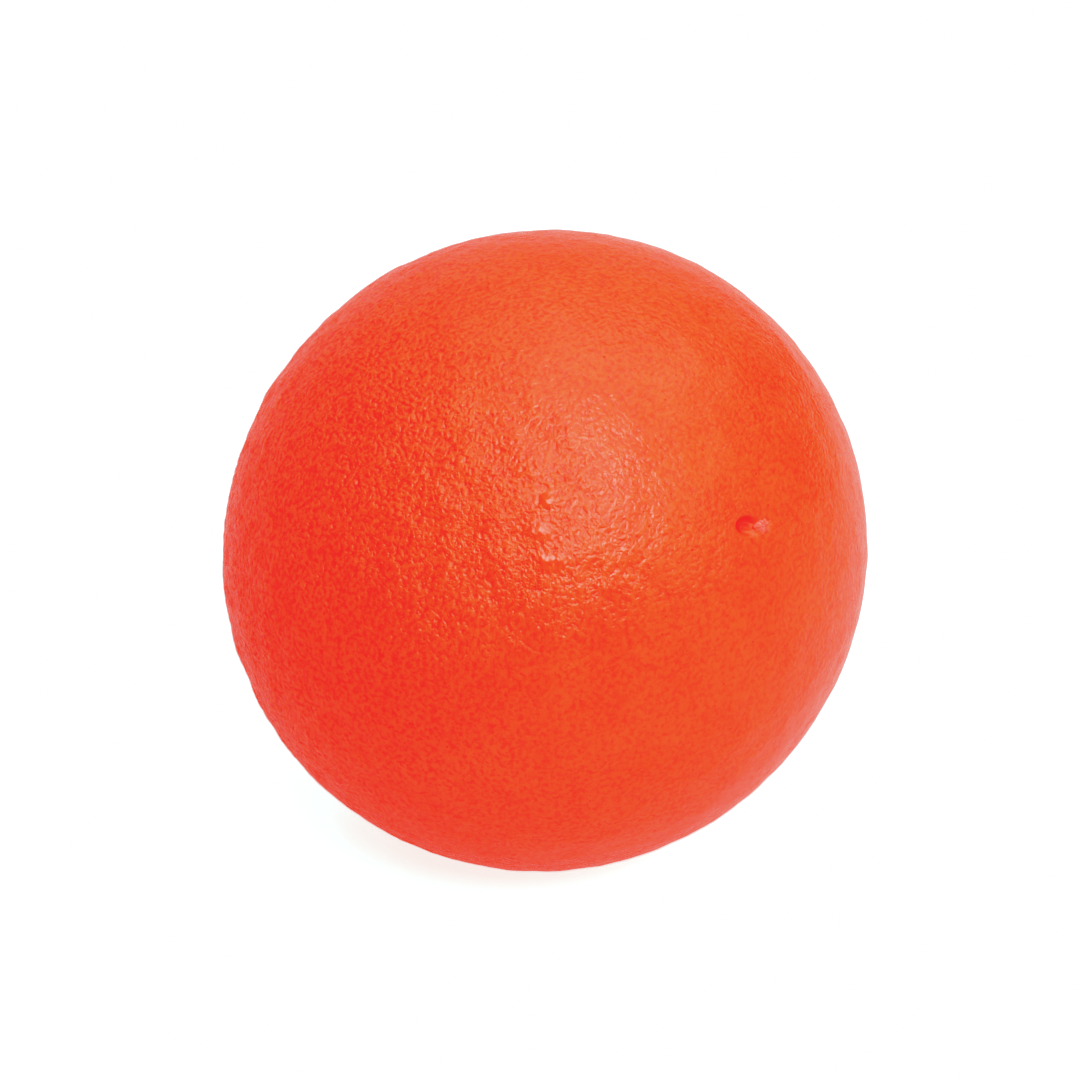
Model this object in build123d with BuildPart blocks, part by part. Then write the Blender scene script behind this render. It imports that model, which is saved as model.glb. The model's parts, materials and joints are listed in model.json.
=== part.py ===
"""A foam stress ball, in millimetres: a moulded polyurethane foam core inside a thin rubbery skin.

The origin is the ball's centre and +Z is up. The skin is two half shells that meet on the
mould's parting plane, Z = 0. The ball was held on a pin while it was coated. The pin left an
oval dimple and a blind channel on the -Y side, above the parting plane, and a dab of coating
plugs the channel's mouth.
"""

import os
from math import cos, radians, sin

from build123d import *

# Driving dimensions
BALL_DIAMETER = 70.0
SKIN_THICKNESS = 0.5
BOND_GAP = 0.05  # between the foam and the skin, so that neither cuts into the other

# The dimple, measured on the ball's surface
DIMPLE_ELEVATION = 27.0  # degrees above the parting plane
DIMPLE_TURN = -20.0  # degrees from the horizontal to the dimple's long axis
DIMPLE_LENGTH = 4.4
DIMPLE_WIDTH = 2.4
DIMPLE_DEPTH = 0.8

# The pin's channel in the foam, and the dab of coating that closes it
PIN_SLANT = 19.0  # degrees round the dimple's curve from its deepest point, along its long axis
CHANNEL_DIAMETER = 1.6
CHANNEL_DEPTH = 16.0  # from its mouth in the dimple
PLUG_CLEARANCE = 0.05  # between the plug's stem and the foam
PLUG_LENGTH = 3.5
PLUG_HEAD_DIAMETER = 2.0
PLUG_HEAD_HEIGHT = 0.35
PLUG_HEAD_ROOT = 0.05  # how far the head reaches down before the skin trims it

# Worked out from the driving dimensions
ball_radius = BALL_DIAMETER / 2
inner_radius = ball_radius - SKIN_THICKNESS


def arc_radius(chord, rise):
    """The radius of an arc from its chord and how far it rises over it."""
    return ((chord / 2) ** 2 + rise**2) / (2 * rise)


# A torus cuts the dimple: its tube is the dimple's curve across, its outside the curve along
dimple_tube_radius = arc_radius(DIMPLE_WIDTH, DIMPLE_DEPTH)
dimple_long_radius = arc_radius(DIMPLE_LENGTH, DIMPLE_DEPTH)
dimple_ring_radius = dimple_long_radius - dimple_tube_radius
torus_height = dimple_long_radius - DIMPLE_DEPTH

# The torus's plane over the dimple: Z points outwards, X along the dimple's long axis
tilt, turn = radians(DIMPLE_ELEVATION), radians(DIMPLE_TURN)
outwards = Vector(0, -cos(tilt), sin(tilt))
long_axis = Vector(cos(turn), sin(turn) * sin(tilt), sin(turn) * cos(tilt))
torus_plane = Plane(outwards * (ball_radius + torus_height), x_dir=long_axis, z_dir=outwards)
torus_place = torus_plane.location
across_the_dimple = (90, 0, 0)  # turns the torus's axis to lie across the dimple

# The plane on the dimple's surface where the pin went in, square to the surface there
pin_mouth = torus_plane.rotated((0, -PIN_SLANT, 0)).offset(-dimple_long_radius)

os.makedirs("parts", exist_ok=True)

# The space inside the skin, which keeps its thickness under the dimple too
with BuildPart() as inside_of_skin:
    Sphere(inner_radius)
    with Locations(torus_place):
        Torus(
            dimple_ring_radius,
            dimple_tube_radius + SKIN_THICKNESS,
            rotation=across_the_dimple,
            mode=Mode.SUBTRACT,
        )

# The whole skin, before it is parted
with BuildPart() as whole_skin:
    Sphere(ball_radius)
    with Locations(torus_place):
        Torus(
            dimple_ring_radius,
            dimple_tube_radius,
            rotation=across_the_dimple,
            mode=Mode.SUBTRACT,
        )
    add(inside_of_skin.part, mode=Mode.SUBTRACT)

# Lower half of the skin
with BuildPart() as skin_lower:
    add(whole_skin.part)
    split(bisect_by=Plane.XY, keep=Keep.BOTTOM)

# Upper half of the skin, with the pin's hole through the dimple's floor
with BuildPart() as skin_upper:
    add(whole_skin.part)
    split(bisect_by=Plane.XY, keep=Keep.TOP)
    with BuildSketch(pin_mouth):
        Circle(CHANNEL_DIAMETER / 2)
    extrude(amount=DIMPLE_DEPTH + SKIN_THICKNESS, both=True, mode=Mode.SUBTRACT)

# Foam core, with the dimple pressed into it and the pin's blind channel
with BuildPart() as foam_core:
    Sphere(inner_radius - BOND_GAP)
    with Locations(torus_place):
        Torus(
            dimple_ring_radius,
            dimple_tube_radius + SKIN_THICKNESS + BOND_GAP,
            rotation=across_the_dimple,
            mode=Mode.SUBTRACT,
        )
    with BuildSketch(pin_mouth):
        Circle(CHANNEL_DIAMETER / 2 + PLUG_CLEARANCE)
    extrude(amount=-CHANNEL_DEPTH, mode=Mode.SUBTRACT)

# Seal plug: a stem in the pin's hole and a low domed head on the dimple's floor. In its
# section X is the radius and Y the depth below the pin's mouth.
plug_section = Plane(pin_mouth.origin, x_dir=pin_mouth.x_dir, z_dir=pin_mouth.y_dir)
with BuildPart() as seal_plug:
    with BuildSketch(plug_section):
        with BuildLine():
            top = (0, -PLUG_HEAD_HEIGHT)
            rim = (PLUG_HEAD_DIAMETER / 2, -PLUG_HEAD_HEIGHT / 2)
            shoulder = (PLUG_HEAD_DIAMETER / 2, PLUG_HEAD_ROOT)
            neck = (CHANNEL_DIAMETER / 2, PLUG_HEAD_ROOT)
            tip = (CHANNEL_DIAMETER / 2, PLUG_LENGTH)
            dome = RadiusArc(top, rim, arc_radius(PLUG_HEAD_DIAMETER, PLUG_HEAD_HEIGHT / 2))
            Polyline(dome @ 1, shoulder, neck, tip, (0, PLUG_LENGTH), dome @ 0)
        make_face()
    revolve(axis=Axis(pin_mouth.origin, pin_mouth.z_dir))
    add(skin_upper.part, mode=Mode.SUBTRACT)

pieces = {
    "foam_core": foam_core,
    "skin_lower": skin_lower,
    "skin_upper": skin_upper,
    "seal_plug": seal_plug,
}
for name, piece in pieces.items():
    piece.part.label = name
    export_step(piece.part, f"parts/{name}.step")
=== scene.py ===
"""A coated foam stress ball on a plain white floor.

The CAD frame gives the ball's size and where its seal plug is. Everything else is worked out
here: an orange-peel skin with a puckered dimple, the foam ball inside it and the dab of
coating that seals the dimple. Lengths in the relief functions are in millimetres, and the
meshes are in metres.
"""

import itertools
import json
from math import asin, cos, exp, log, pi, radians, sin, tan

import bpy
import numpy as np
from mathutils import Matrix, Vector

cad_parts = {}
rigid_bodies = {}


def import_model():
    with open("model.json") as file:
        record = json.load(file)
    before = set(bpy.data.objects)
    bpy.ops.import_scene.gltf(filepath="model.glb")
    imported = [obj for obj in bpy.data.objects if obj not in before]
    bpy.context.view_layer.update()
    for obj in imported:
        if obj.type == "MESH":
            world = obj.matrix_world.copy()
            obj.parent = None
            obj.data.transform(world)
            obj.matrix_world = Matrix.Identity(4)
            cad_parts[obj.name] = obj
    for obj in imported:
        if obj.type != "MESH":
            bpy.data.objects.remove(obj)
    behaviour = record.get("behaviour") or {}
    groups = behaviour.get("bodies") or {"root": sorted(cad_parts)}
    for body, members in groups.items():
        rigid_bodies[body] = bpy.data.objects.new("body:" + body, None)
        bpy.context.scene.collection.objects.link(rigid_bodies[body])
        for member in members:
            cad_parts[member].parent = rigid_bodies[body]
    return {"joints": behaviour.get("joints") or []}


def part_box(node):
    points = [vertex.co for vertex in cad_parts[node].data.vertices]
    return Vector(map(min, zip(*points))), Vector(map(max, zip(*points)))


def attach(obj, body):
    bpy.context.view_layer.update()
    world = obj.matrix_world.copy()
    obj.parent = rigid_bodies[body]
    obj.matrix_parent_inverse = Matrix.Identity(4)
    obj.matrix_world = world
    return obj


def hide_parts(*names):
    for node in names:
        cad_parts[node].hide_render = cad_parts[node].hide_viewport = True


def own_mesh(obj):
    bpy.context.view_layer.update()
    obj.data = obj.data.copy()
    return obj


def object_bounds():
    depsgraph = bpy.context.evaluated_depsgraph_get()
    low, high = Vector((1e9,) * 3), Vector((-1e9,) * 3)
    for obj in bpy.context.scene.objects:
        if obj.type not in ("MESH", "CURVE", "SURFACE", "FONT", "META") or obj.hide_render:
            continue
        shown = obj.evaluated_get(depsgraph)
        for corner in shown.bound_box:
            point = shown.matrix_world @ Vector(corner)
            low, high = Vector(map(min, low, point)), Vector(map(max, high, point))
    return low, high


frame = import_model()
cad_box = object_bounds()

MM = 0.001

# The ball, from the frame
CENTRE = (cad_box[0] + cad_box[1]) / 2
BALL_RADIUS = (cad_box[1].z - cad_box[0].z) / 2 / MM
CORE_RADIUS = (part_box("foam_core")[1].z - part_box("foam_core")[0].z) / 2 / MM

# The dimple, as the CAD makes it
DIMPLE_ELEVATION = radians(27)
DIMPLE_TURN = radians(-20)
DIMPLE_DEPTH = 0.8

# The dimple's two parts, along its long axis: the pit, and the sealed end
PIT_OFFSET = -0.3
PIT_HALF_LENGTH = 2.1
PIT_HALF_WIDTH = 1.4
PIT_WALL = 0.65
# the pit is deepest under its upper left wall: how its floor slopes along and across, per mm,
# and its shallowest and deepest shares of the dimple's depth
PIT_SLOPES = (-0.24, 0.26)
PIT_SHARES = (0.3, 1.5)
SEAL_OFFSET = 1.65
SEAL_RADIUS = 1.05
SEAL_SEAT_MARGIN = 0.2
SEAL_SEAT_DEPTH = 0.3
SEAL_SEAT_WALL = 0.7

# The dab's head: its middle and its base over the ball, its dome, its rays and its rim's drop
HEAD_TOP = 0.08
HEAD_BASE = -0.32
HEAD_DOME = 0.42
HEAD_RAYS = 0.28
HEAD_RIM_DROP = 0.10
# its edge: the share of the seal's radius between the rays, and how much more at a ray
HEAD_EDGE = 0.78
HEAD_EDGE_RAYS = 0.32
# the dab's stem: the depth and radius of each ring, and the depth of its tip
STEM_RINGS = ((0.42, 0.75), (1.42, 0.75), (3.12, 0.60))
STEM_TIP = 3.17
# rays of the pucker: degrees round it, how wide in degrees, how tall
PUCKER_RAYS = (
    (182, 14, 1.0), (118, 12, 0.5), (70, 13, 0.9), (36, 11, 1.0),
    (-42, 13, 1.0), (-98, 15, 0.9), (-150, 12, 0.4),
)

# The meshes: squares along a side of each cube sphere, drawn together round the dimple
SKIN_CELLS = 200
FOAM_CELLS = 64
GATHER_SHARE = 0.33
GATHER_SPREAD = radians(8)
DAB_RINGS = 28
DAB_SPOKES = 120
FOAM_GAP = 0.15
FOAM_DIMPLE_MARGIN = 0.4

# The camera's place, and how the ball sits in its frame
CAMERA_AZIMUTH = radians(-44)
CAMERA_ELEVATION = radians(30)
CAMERA_DISTANCE = 0.75
BALL_SHARE_OF_FRAME = 0.5953
BALL_RIGHT_OF_MIDDLE = 0.0051
BALL_BELOW_MIDDLE = 0.0097


# ---------------------------------------------------------------- directions


def unit(v):
    """Vectors, each scaled to a length of 1."""
    v = np.asarray(v, float)
    return v / np.linalg.norm(v, axis=-1, keepdims=True)


CAMERA_BACK = np.array([
    sin(CAMERA_AZIMUTH) * cos(CAMERA_ELEVATION),
    -cos(CAMERA_AZIMUTH) * cos(CAMERA_ELEVATION),
    sin(CAMERA_ELEVATION),
])
CAMERA_RIGHT = np.array([cos(CAMERA_AZIMUTH), sin(CAMERA_AZIMUTH), 0.0])
CAMERA_UP = np.cross(CAMERA_BACK, CAMERA_RIGHT)

DIMPLE_OUT = np.array([0.0, -cos(DIMPLE_ELEVATION), sin(DIMPLE_ELEVATION)])
DIMPLE_LONG = np.array([
    cos(DIMPLE_TURN),
    sin(DIMPLE_TURN) * sin(DIMPLE_ELEVATION),
    sin(DIMPLE_TURN) * cos(DIMPLE_ELEVATION),
])
DIMPLE_ACROSS = np.cross(DIMPLE_OUT, DIMPLE_LONG)


def from_camera(right, up, back):
    """A direction given as the camera sees it, turned into the frame that all pieces share."""
    return unit(right * CAMERA_RIGHT + up * CAMERA_UP + back * CAMERA_BACK)


# How the ball is out of round, as the camera sees it
LONGEST_TURN = radians(40)
OUT_OF_ROUND = 0.010

# Where the coating is coarsest, and the smooth drips in it: right, up, size and height
COARSE_SIDE = from_camera(-0.12, 0.04, 0.99)
COARSE_SPREAD = radians(24)
DRIPS = (
    (0.0, 0.155, 0.85, 0.13),
    (-0.018, 0.055, 0.95, 0.15),
    (0.0, -0.030, 0.75, 0.13),
    (0.035, -0.040, 0.70, 0.12),
)
DRIP_SMOOTHNESS = 0.75

# The coating's layers of noise: how big their lumps are, and their seeds
CURL_SIZE = 2.4
CURL_SEEDS = (11, 12, 13)
BROAD_LAYER = (17, 21)
MIDDLE_LAYER = (7.5, 22)
LUMP_LAYER = (3.0, 23)
PEEL_LAYER = (1.3, 31)
GRAIN_LAYER = (9, 41)
# how far curl shifts the lumps and the peel, and how high the layers are. Lumps and peel have
# a height everywhere, then more at the coarsest side, then more towards the camera's left
CURL_SHIFT = 0.6
BROAD_HEIGHT = 0.10
MIDDLE_HEIGHT = 0.06
LUMP_HEIGHTS = (0.15, 0.22, 0.12)
PEEL_HEIGHTS = (0.07, 0.14, 0.12)
# how much of the deeper colour a furrow between the swellings takes: partly a thicker coat, partly
# painted shade
FURROW_SHADE = 0.15
# the fine grain's strength: in the middle, less to the right, more at the left, and in patches
GRAIN_MIDDLE = 0.38
GRAIN_RIGHT = 0.16
GRAIN_LEFT = 0.55
GRAIN_PATCHES = 0.12


# ---------------------------------------------------------------- noise


def gradient_noise(points, size, seed):
    """Smooth noise of about -0.8 to 0.8 at each point, with lumps about size across."""
    random = np.random.default_rng(seed)
    order = random.permutation(256)
    gradients = unit(random.normal(size=(256, 3)))
    scaled = points / size
    cell = np.floor(scaled).astype(int)
    inside = scaled - cell
    fade = inside**3 * (inside * (inside * 6 - 15) + 10)
    total = np.zeros(len(points))
    for corner in itertools.product((0, 1), repeat=3):
        x, y, z = (cell + corner).T & 255
        slope = gradients[order[(order[(order[x] + y) & 255] + z) & 255]]
        weight = np.prod(np.where(corner, fade, 1 - fade), axis=1)
        total += weight * np.einsum("ij,ij->i", slope, inside - corner)
    return total


def billows(points, size, seed, furrow=0.06):
    """Rounded swellings about size across, with narrow furrows between them: 0 to about 0.7."""
    return np.sqrt(gradient_noise(points, size, seed) ** 2 + furrow**2) - furrow


def smooth_step(x, start, end):
    """0 up to start and 1 past end, with an even rise between."""
    t = np.clip((x - start) / (end - start), 0, 1)
    return t * t * (3 - 2 * t)


# ---------------------------------------------------------------- sphere mesh


def cube_sphere(cells):
    """A sphere of quads as (directions, quads, a UV for each quad's corner)."""
    line = np.tan(np.linspace(-1, 1, cells + 1) * pi / 4)
    across, along = np.meshgrid(line, line, indexing="ij")
    ones = np.ones_like(across)
    sides = [
        (ones, across, along), (-ones, -across, along), (-across, ones, along),
        (across, -ones, along), (-along, across, ones), (along, across, -ones),
    ]
    grid = np.arange((cells + 1) ** 2).reshape(cells + 1, cells + 1)
    corners = np.stack([grid[:-1, :-1], grid[1:, :-1], grid[1:, 1:], grid[:-1, 1:]], -1)
    corners = corners.reshape(-1, 4)
    share = np.linspace(0, 1, cells + 1)
    flat = np.stack(np.meshgrid(share, share, indexing="ij"), -1).reshape(-1, 2)
    margin = 0.006
    points, quads, uvs = [], [], []
    for n, side in enumerate(sides):
        points.append(np.stack(side, -1).reshape(-1, 3))
        quads.append(corners + n * grid.size)
        tile = np.array([n % 3, n // 3])
        uvs.append((tile + margin + flat * (1 - 2 * margin)) / (3, 2))
    points, quads, uvs = map(np.concatenate, (points, quads, uvs))
    uv = uvs[quads]
    keys = np.round(points * 1e6).astype(int)
    _, first, same = np.unique(keys, axis=0, return_index=True, return_inverse=True)
    return unit(points[first]), same.reshape(-1)[quads].tolist(), uv


def gather_at(directions, target, share, spread):
    """Draws directions towards target, to share times their spacing there, over about spread."""
    angle = np.arccos(np.clip(directions @ target, -1, 1))
    sideways = directions - np.outer(directions @ target, target)
    length = np.linalg.norm(sideways, axis=1, keepdims=True)
    sideways = np.divide(sideways, length, out=np.zeros_like(sideways), where=length > 0)
    nearer = angle * (1 - (1 - share) * np.exp(-((angle / spread) ** 2)))
    return np.cos(nearer)[:, None] * target + np.sin(nearer)[:, None] * sideways


def mesh_object(name, points, faces, uv=None):
    """A smooth mesh from points in millimetres from the ball's centre."""
    mesh = bpy.data.meshes.new(name)
    mesh.from_pydata((points * MM).tolist(), [], faces)
    if uv is not None:
        layer = mesh.uv_layers.new(name="OFBake")
        layer.data.foreach_set("uv", uv.reshape(-1).astype(np.float32))
    mesh.shade_smooth()
    made = bpy.data.objects.new(name, mesh)
    bpy.context.scene.collection.objects.link(made)
    made.location = CENTRE
    return made


def store(piece, name, values):
    """Keeps a number or a vector for each vertex, for the material to read."""
    kind = "FLOAT" if values.ndim == 1 else "FLOAT_VECTOR"
    attribute = piece.data.attributes.new(name, kind, "POINT")
    key = "value" if values.ndim == 1 else "vector"
    attribute.data.foreach_set(key, values.reshape(-1).astype(np.float32))


# ---------------------------------------------------------------- relief


def out_of_round(directions):
    """The ball is 1% of its radius longer one way, and as much shorter square to that."""
    longest = from_camera(cos(LONGEST_TURN), sin(LONGEST_TURN), 0)
    shortest = from_camera(-sin(LONGEST_TURN), cos(LONGEST_TURN), 0)
    along, across = directions @ longest, directions @ shortest
    return BALL_RADIUS * OUT_OF_ROUND * (along**2 - across**2)


def bowl(along, across, half_length, half_width, wall):
    """1 on the floor of an oval hollow and 0 outside it. A bigger wall makes its sides gentler."""
    reach = np.hypot(along / half_length, across / half_width)
    return 1 - smooth_step(reach, 1 - wall, 1)


def dimple(directions, grow=0.0):
    """How far the skin dips in the dimple."""
    along = directions @ DIMPLE_LONG * BALL_RADIUS
    across = directions @ DIMPLE_ACROSS * BALL_RADIUS
    facing = directions @ DIMPLE_OUT > 0
    in_pit = along - PIT_OFFSET
    pit = bowl(in_pit, across, PIT_HALF_LENGTH + grow, PIT_HALF_WIDTH + grow, PIT_WALL)
    slope = np.clip(1.0 + PIT_SLOPES[0] * in_pit + PIT_SLOPES[1] * across, *PIT_SHARES)
    seal = SEAL_RADIUS + SEAL_SEAT_MARGIN + grow
    sunk = bowl(along - SEAL_OFFSET, across, seal, seal, SEAL_SEAT_WALL)
    dip = DIMPLE_DEPTH * pit * slope + SEAL_SEAT_DEPTH * sunk * (1 - pit)
    return np.where(facing, dip, 0)


def pit_side(directions):
    """How far towards the pit's upper left wall, in millimetres from its middle."""
    along = directions @ DIMPLE_LONG * BALL_RADIUS - PIT_OFFSET
    across = directions @ DIMPLE_ACROSS * BALL_RADIUS
    return 0.87 * across - 0.5 * along


def skin_relief(directions):
    """At each direction: height over the ball, a furrow's deeper colour with the pit wall's painted
    shade, and how strong the grain is.
    """
    at = directions * BALL_RADIUS
    curl = np.stack([gradient_noise(at, CURL_SIZE, seed) for seed in CURL_SEEDS], axis=1)
    curled = at + curl * CURL_SHIFT
    from_coarsest = np.arccos(np.clip(directions @ COARSE_SIDE, -1, 1))
    coarse = np.exp(-((from_coarsest / COARSE_SPREAD) ** 2))
    leftward = np.maximum(-(directions @ CAMERA_RIGHT), 0)

    def by_place(everywhere, at_coarsest, at_left):
        return everywhere + at_coarsest * coarse + at_left * leftward

    broad = gradient_noise(at, *BROAD_LAYER) * BROAD_HEIGHT
    broad = broad + gradient_noise(at, *MIDDLE_LAYER) * MIDDLE_HEIGHT
    lumps = gradient_noise(curled, *LUMP_LAYER) * by_place(*LUMP_HEIGHTS)
    swellings = billows(curled, *PEEL_LAYER)
    peel = swellings * by_place(*PEEL_HEIGHTS)
    furrow = 1 - smooth_step(swellings, 0.0, 0.14)
    grain = GRAIN_MIDDLE - GRAIN_RIGHT * directions @ CAMERA_RIGHT + GRAIN_LEFT * leftward**1.2
    grain = grain + GRAIN_PATCHES * gradient_noise(at, *GRAIN_LAYER)

    drips = np.zeros(len(at))
    for right, up, size, height in DRIPS:
        middle = from_camera(right, up, (1 - right**2 - up**2) ** 0.5)
        away = np.arccos(np.clip(directions @ middle, -1, 1)) * BALL_RADIUS / size
        drip = np.exp(-(away**2))
        drips = np.maximum(drips, height * drip)
        grain = grain * (1 - DRIP_SMOOTHNESS * drip)

    dip = dimple(directions)
    # painted shade on the pit's upper left wall, the side that faces away from the light
    painted_pit_shade = smooth_step(dip, 0.15, 0.5) * smooth_step(pit_side(directions), -0.7, 0.4)
    # the furrow attribute carries the furrows' deeper colour and the pit wall's painted shade
    furrow = np.maximum(FURROW_SHADE * furrow, painted_pit_shade)
    calm = 1 - smooth_step(dip, 0.03, 0.2)
    return broad + (lumps + peel) * calm + drips - dip, furrow, grain * (0.25 + 0.75 * calm)


# ---------------------------------------------------------------- materials


def new_material(name):
    """A material with its nodes, links and shader."""
    made = bpy.data.materials.new(name)
    made.use_nodes = True
    return made, made.node_tree.nodes, made.node_tree.links, made.node_tree.nodes["Principled BSDF"]


def add_node(nodes, kind, **settings):
    """A shader node. Each setting is an input's value or the node's own property."""
    node = nodes.new("ShaderNode" + kind)
    for key, value in settings.items():
        if key in node.inputs:
            node.inputs[key].default_value = value
        else:
            setattr(node, key, value)
    return node


def graded(nodes, links, value, low, high, out_low=0.0, out_high=1.0):
    """A value spread from low..high to out_low..out_high."""
    node = add_node(nodes, "MapRange")
    node.inputs["From Min"].default_value = low
    node.inputs["From Max"].default_value = high
    node.inputs["To Min"].default_value = out_low
    node.inputs["To Max"].default_value = out_high
    links.new(value, node.inputs["Value"])
    return node.outputs["Result"]


def combined(nodes, links, operation, first, second):
    """Two values put together. The second may be a plain number."""
    node = add_node(nodes, "Math", operation=operation)
    links.new(first, node.inputs[0])
    if isinstance(second, float):
        node.inputs[1].default_value = second
    else:
        links.new(second, node.inputs[1])
    return node.outputs["Value"]


# Each material's two tints, and the coatings' deeper colour in furrows, grain and pinholes: partly
# a thicker coat, partly painted shade, and painted shade on the pit's upper left wall
SKIN_TINTS = ((0.86, 0.089, 0.020), (0.86, 0.106, 0.026))
# the dab's paler pink is a painted highlight on its pucker
DAB_HIGHLIGHT_TINTS = ((0.86, 0.16, 0.12), (0.86, 0.19, 0.15))
FOAM_TINTS = ((0.42, 0.33, 0.20), (0.80, 0.70, 0.50))
DEEPER_COAT_AND_SHADE = (0.76, 0.026, 0.012)


def skin_material(name, tints):
    """A satin coating. The mesh says where it is furrowed, where the pit's wall is painted in
    shade, and how strong its grain is. Furrows, the grain's valleys and pinholes take a deeper
    colour, partly a thicker coat and partly painted shade.
    """
    made, nodes, links, shader = new_material(name)
    shader.inputs["Specular IOR Level"].default_value = 0.5
    rest = add_node(nodes, "Attribute", attribute_name="rest").outputs["Vector"]
    # furrow: the furrows' deeper colour and the pit wall's painted shade
    furrow = add_node(nodes, "Attribute", attribute_name="furrow").outputs["Fac"]
    strength = add_node(nodes, "Attribute", attribute_name="grain").outputs["Fac"]

    def noise(kind, **settings):
        node = add_node(nodes, kind, **settings)
        links.new(rest, node.inputs["Vector"])
        return node.outputs[0]

    grain = noise("TexNoise", Scale=1.9, Detail=3.0, Roughness=0.5, Distortion=0.15)
    patches = noise("TexNoise", Scale=0.16, Detail=3.0)
    # pinholes dent the bump and take the deeper colour, partly painted shade in the pits
    pinholes = graded(nodes, links, noise("TexVoronoi", Scale=0.55), 0.04, 0.09, 1.0, 0.0)

    tint = add_node(nodes, "ValToRGB")
    tint.color_ramp.elements[0].position = 0.35
    tint.color_ramp.elements[0].color = (*tints[0], 1)
    tint.color_ramp.elements[1].position = 0.65
    tint.color_ramp.elements[1].color = (*tints[1], 1)
    links.new(patches, tint.inputs["Fac"])

    # the grain's valleys take the deeper colour: partly a thicker coat, partly painted shade
    valley_coat_and_shade = graded(nodes, links, grain, 0.58, 0.36, 0.0, 1.0)
    valley_coat_and_shade_share = combined(nodes, links, "MULTIPLY", strength, 0.95)
    valley_coat_and_shade_share = combined(nodes, links, "ADD", valley_coat_and_shade_share, 0.12)
    valley_coat_and_shade = combined(nodes, links, "MULTIPLY", valley_coat_and_shade, valley_coat_and_shade_share)
    depth = combined(nodes, links, "ADD", furrow, valley_coat_and_shade)
    depth = combined(nodes, links, "MAXIMUM", depth, pinholes)
    deeper = add_node(nodes, "MixRGB", blend_type="MIX")
    deeper.inputs["Color2"].default_value = (*DEEPER_COAT_AND_SHADE, 1)
    links.new(tint.outputs["Color"], deeper.inputs["Color1"])
    links.new(depth, deeper.inputs["Fac"])
    links.new(deeper.outputs["Color"], shader.inputs["Base Color"])

    satin = noise("TexNoise", Scale=1.4, Detail=2.0)
    links.new(graded(nodes, links, satin, 0.3, 0.7, 0.11, 0.19), shader.inputs["Roughness"])

    holes = combined(nodes, links, "MULTIPLY", pinholes, 0.2)
    height = combined(nodes, links, "SUBTRACT", grain, holes)
    bump = add_node(nodes, "Bump", Distance=0.0008)
    links.new(strength, bump.inputs["Strength"])
    links.new(height, bump.inputs["Height"])
    links.new(bump.outputs["Normal"], shader.inputs["Normal"])
    return made


def foam_material():
    """Pale foam with open cells."""
    made, nodes, links, shader = new_material("open_cell_foam")
    rest = add_node(nodes, "Attribute", attribute_name="rest")
    cells = add_node(nodes, "TexVoronoi", Scale=1.6)
    links.new(rest.outputs["Vector"], cells.inputs["Vector"])
    tint = add_node(nodes, "ValToRGB")
    tint.color_ramp.elements[0].color = (*FOAM_TINTS[0], 1)
    tint.color_ramp.elements[1].position = 0.55
    tint.color_ramp.elements[1].color = (*FOAM_TINTS[1], 1)
    links.new(cells.outputs["Distance"], tint.inputs["Fac"])
    links.new(tint.outputs["Color"], shader.inputs["Base Color"])
    shader.inputs["Roughness"].default_value = 0.9
    bump = add_node(nodes, "Bump", Strength=0.8, Distance=0.0002)
    links.new(cells.outputs["Distance"], bump.inputs["Height"])
    links.new(bump.outputs["Normal"], shader.inputs["Normal"])
    return made


# ---------------------------------------------------------------- pieces


def make_skin():
    """The whole coating, in one piece, with its relief."""
    directions, faces, uv = cube_sphere(SKIN_CELLS)
    directions = gather_at(directions, DIMPLE_OUT, GATHER_SHARE, GATHER_SPREAD)
    height, furrow, grain = skin_relief(directions)
    points = directions * (BALL_RADIUS + out_of_round(directions) + height)[:, None]
    piece = mesh_object("coated_skin", points, faces, uv)
    store(piece, "rest", points)
    # furrow carries the furrows' deeper colour and the pit wall's painted shade
    store(piece, "furrow", furrow)
    store(piece, "grain", grain)
    piece.data.materials.append(skin_material("orange_peel_coating", SKIN_TINTS))
    return piece


def make_foam():
    """The foam ball inside the coating, with a wider dimple so that it stays clear of it."""
    directions, faces, uv = cube_sphere(FOAM_CELLS)
    directions = gather_at(directions, DIMPLE_OUT, GATHER_SHARE, GATHER_SPREAD)
    height = out_of_round(directions) - FOAM_GAP - dimple(directions, FOAM_DIMPLE_MARGIN)
    points = directions * (CORE_RADIUS + height)[:, None]
    piece = mesh_object("foam_ball", points, faces, uv)
    store(piece, "rest", points)
    piece.data.materials.append(foam_material())
    return piece


def lathe_faces(rings, spokes):
    """Faces of a closed form: a first point, rings of points, and a last point."""
    faces = [(0, 1 + n, 1 + (n + 1) % spokes) for n in range(spokes)]
    for ring in range(rings - 1):
        first = 1 + ring * spokes
        for n in range(spokes):
            m = (n + 1) % spokes
            faces.append((first + n, first + spokes + n, first + spokes + m, first + m))
    last = 1 + (rings - 1) * spokes
    faces += [(last + n, last + spokes, last + (n + 1) % spokes) for n in range(spokes)]
    return faces


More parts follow.
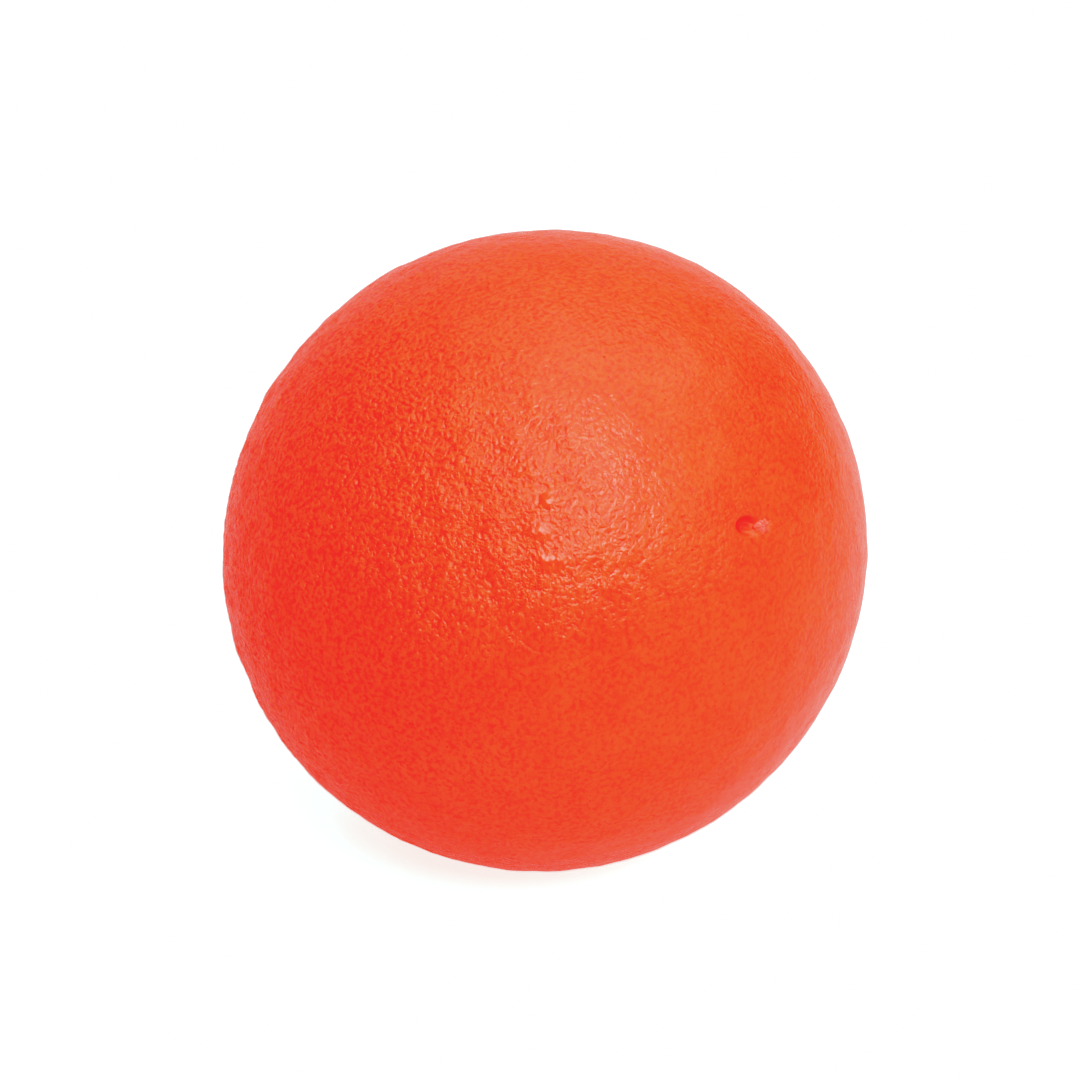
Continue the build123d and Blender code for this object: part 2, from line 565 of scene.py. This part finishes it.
def make_dab():
    """The dab of coating in the pin's hole: a puckered button on a stem, paler pink as a painted
    highlight.
    """
    slant = SEAL_OFFSET / BALL_RADIUS
    out = unit(cos(slant) * DIMPLE_OUT + sin(slant) * DIMPLE_LONG)
    long_way = unit(DIMPLE_LONG - (DIMPLE_LONG @ out) * out)
    foot = BALL_RADIUS * out
    turn = np.linspace(0, 2 * pi, DAB_SPOKES, endpoint=False)
    outward = np.outer(np.cos(turn), long_way) + np.outer(np.sin(turn), DIMPLE_ACROSS)
    rays = sum(
        tall * np.exp((np.cos(turn - radians(at)) - 1) / (1 - cos(radians(wide))))
        for at, wide, tall in PUCKER_RAYS
    )
    edge = SEAL_RADIUS * (HEAD_EDGE + HEAD_EDGE_RAYS * np.clip(rays, 0, 1))

    def ring(radius, height):
        return foot + np.reshape(radius, (-1, 1)) * outward + np.reshape(height, (-1, 1)) * out

    rings = []
    for reach in np.linspace(0, 1, DAB_RINGS)[1:]:
        dome = HEAD_DOME * (1 - reach**2) - HEAD_RIM_DROP * reach**6
        ridges = HEAD_RAYS * rays * sin(pi * 0.95 * reach)
        rings.append(ring(edge * reach, HEAD_BASE + dome + ridges))
    rings += [ring(radius, -depth) for depth, radius in STEM_RINGS]
    points = np.vstack([foot + HEAD_TOP * out, *rings, foot - STEM_TIP * out])
    piece = mesh_object("seal_dab", points, lathe_faces(len(rings), DAB_SPOKES))
    store(piece, "rest", points)
    store(piece, "furrow", np.zeros(len(points)))
    store(piece, "grain", np.full(len(points), 0.1))
    # the dab's paler pink tints are a painted highlight on the pucker
    piece.data.materials.append(skin_material("dab_coating_painted_highlight", DAB_HIGHLIGHT_TINTS))
    return piece


skin = make_skin()
foam = make_foam()
dab = make_dab()

joint = frame["joints"][0]
for piece in (skin, foam, dab):
    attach(piece, joint["parent"])
    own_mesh(piece)
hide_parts("skin_lower", "skin_upper")
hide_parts("foam_core")
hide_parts("seal_plug")


# ---------------------------------------------------------------- stage, light and camera


def aim(thing, place):
    """Stands a light or the camera at a place, facing the ball."""
    thing.location = place
    thing.rotation_mode = "QUATERNION"
    thing.rotation_quaternion = (CENTRE - place).to_track_quat("-Z", "Y")


def make_floor(name, white, glow, seen):
    """A table top: the one that the camera sees, or the one that lights and mirrors in the ball."""
    half = SEEN_TABLE_HALF if seen else BOUNCE_TABLE_HALF
    z = cad_box[0].z - (0 if seen else BOUNCE_TABLE_DROP)
    corners = [(-half, -half, z), (half, -half, z), (half, half, z), (-half, half, z)]
    mesh = bpy.data.meshes.new(name)
    mesh.from_pydata(corners, [], [(0, 1, 2, 3)])
    floor = bpy.data.objects.new(name, mesh)
    bpy.context.scene.collection.objects.link(floor)
    made, _, _, shader = new_material(name)
    shader.inputs["Base Color"].default_value = (white, white, white, 1)
    shader.inputs["Roughness"].default_value = 0.8
    shader.inputs["Specular IOR Level"].default_value = 0.2
    shader.inputs["Emission Color"].default_value = (1, 1, 1, 1)
    shader.inputs["Emission Strength"].default_value = glow
    mesh.materials.append(made)
    floor.visible_camera = seen
    floor.visible_diffuse = not seen
    floor.visible_glossy = not seen
    floor.visible_shadow = False


def make_backdrop():
    """A white surround behind the table's edge, which doesn't light the ball."""
    world = bpy.data.worlds.new("backdrop")
    bpy.context.scene.world = world
    world.use_nodes = True
    background = world.node_tree.nodes["Background"]
    background.inputs["Color"].default_value = (1, 1, 1, 1)
    background.inputs["Strength"].default_value = TONE_WHITE
    world.cycles_visibility.diffuse = False
    world.cycles_visibility.glossy = False
    world.cycles_visibility.transmission = False
    world.cycles_visibility.scatter = False


def make_softbox(name, azimuth, elevation, distance, width, height, radiance):
    """A rectangular light facing the ball. Azimuth is in degrees to the camera's right."""
    turn = CAMERA_AZIMUTH + radians(azimuth)
    rise = radians(elevation)
    direction = Vector((sin(turn) * cos(rise), -cos(turn) * cos(rise), sin(rise)))
    data = bpy.data.lights.new(name, "AREA")
    data.shape = "RECTANGLE"
    data.size, data.size_y = width, height
    data.energy = radiance * pi * width * height
    made = bpy.data.objects.new(name, data)
    bpy.context.scene.collection.objects.link(made)
    aim(made, CENTRE + direction * distance)


def make_camera():
    """The camera, with the ball's size and place in its frame."""
    radius = BALL_RADIUS * MM
    data = bpy.data.cameras.new("camera")
    half_frame = tan(asin(radius / CAMERA_DISTANCE)) / BALL_SHARE_OF_FRAME
    data.lens = data.sensor_width / 2 / half_frame
    data.shift_x = -BALL_RIGHT_OF_MIDDLE
    data.shift_y = BALL_BELOW_MIDDLE
    camera = bpy.data.objects.new("camera", data)
    bpy.context.scene.collection.objects.link(camera)
    aim(camera, CENTRE + Vector(CAMERA_BACK) * CAMERA_DISTANCE)
    bpy.context.scene.camera = camera


SOFTBOXES = (
    # name, azimuth, elevation, distance, width, height, radiance
    ("key", 9, 48, 0.9, 0.36, 0.46, 15.5),
    ("right", 48, 34, 0.9, 0.62, 0.62, 2.7),
    ("right_side", 85, 20, 1.1, 0.8, 0.8, 0.45),
    ("right_wall", 120, 40, 1.3, 1.2, 0.8, 1.0),
    ("overhead", 155, 77, 1.0, 1.3, 1.0, 2.45),
    ("back_wall", 195, 12, 1.3, 2.2, 0.7, 0.7),
    ("left_back", 240, 50, 1.2, 0.9, 0.6, 1.3),
)

# The table is two planes, because what the camera sees of it is brighter than what lights the ball
SEEN_TABLE_HALF = 0.9
BOUNCE_TABLE_HALF = 4.0
BOUNCE_TABLE_DROP = 0.00001
TABLE_WHITE = 0.8
TABLE_GLOW = 2.09
BOUNCE_WHITE = 0.35
BOUNCE_GLOW = 0.35

# How bright each channel prints, from scene light to paper
TONE_WHITE = 2.6
RED_TONES = ((0, 0.02), (0.35, 0.78), (0.5, 0.84), (1.85, 0.89), (2.3, 0.93), (2.6, 1))
TOE_FLOOR = 0.0165
TOE_SLOPE = 0.746
TOE_SOFTNESS = 0.024
TOE_STEPS = (-2, -1, -0.4, 0.3, 1.2, 2.5, 4)
GREEN_TOE = 0.079
BLUE_TOE = 0.099
GREEN_SHOULDER = 0.84
BLUE_SHOULDER = 0.82
SHOULDER_LIGHT = 2.15
CLEAR_WHITE_LIGHT = 2.3


def toe_tones(toe, shoulder):
    """A tone curve that is nearly flat below its toe, then climbs straight to its shoulder."""
    lights = [0, 0.5] + [toe + step * TOE_SOFTNESS for step in TOE_STEPS]
    climb = [
        (light, TOE_FLOOR + TOE_SLOPE * TOE_SOFTNESS * log(1 + exp((light - toe) / TOE_SOFTNESS)))
        for light in sorted(lights)
    ]
    return (*climb, (SHOULDER_LIGHT, shoulder), (CLEAR_WHITE_LIGHT, 1), (TONE_WHITE, 1))


def print_tones():
    """A printed picture's tones: reds stop short of white, and dark greens and blues drop."""
    view = bpy.context.scene.view_settings
    view.view_transform = "Standard"
    view.use_curve_mapping = True
    mapping = view.curve_mapping
    mapping.extend = "HORIZONTAL"
    mapping.white_level = (TONE_WHITE, TONE_WHITE, TONE_WHITE)
    green, blue = toe_tones(GREEN_TOE, GREEN_SHOULDER), toe_tones(BLUE_TOE, BLUE_SHOULDER)
    for curve, tones in zip(mapping.curves, (RED_TONES, green, blue)):
        curve.points[0].location = (0, tones[0][1])
        curve.points[1].location = (1, tones[-1][1])
        for light, paper in tones[1:-1]:
            curve.points.new(light / TONE_WHITE, paper)
        for point in curve.points:
            point.handle_type = "VECTOR"
    mapping.update()


make_floor("table", TABLE_WHITE, TABLE_GLOW, seen=True)
make_floor("table_bounce", BOUNCE_WHITE, BOUNCE_GLOW, seen=False)
make_backdrop()
for softbox in SOFTBOXES:
    make_softbox(*softbox)
make_camera()
print_tones()
